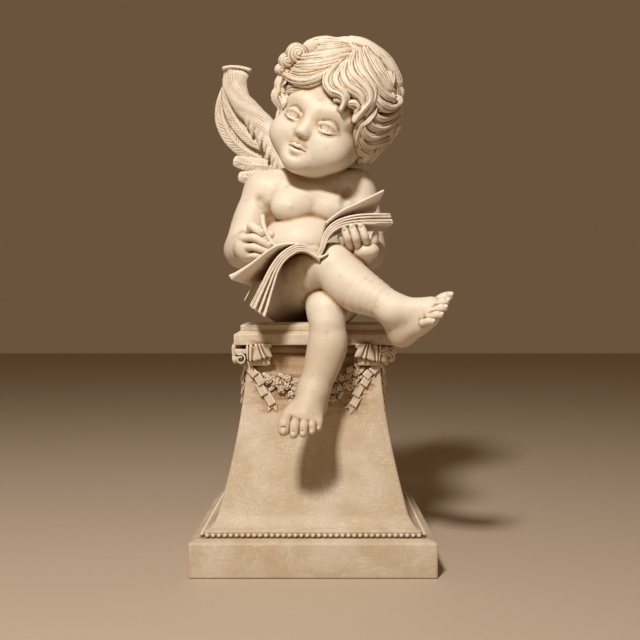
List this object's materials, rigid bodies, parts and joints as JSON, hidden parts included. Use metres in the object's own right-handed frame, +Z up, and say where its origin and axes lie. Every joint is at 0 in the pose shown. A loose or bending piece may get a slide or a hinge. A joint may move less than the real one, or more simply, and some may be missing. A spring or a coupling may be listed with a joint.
{
  "type": "angel statue",
  "caption": "Seated winged cherub with crossed legs, writing in an open book, cast figure resting on a square waisted plinth with garlands.",
  "frame": {"origin": "centre of the plinth's square underside", "axes": "+Z up, -Y towards the front that the cherub's knees face, +X to the viewer's right"},
  "size_m": [0.2838, 0.3073, 0.6209],
  "materials": {
    "figure": "matte",
    "plinth": "matte"
  },
  "bodies": {
    "root": {"pedestal": "plinth", "cherub": "figure"}
  },
  "joints": []
}
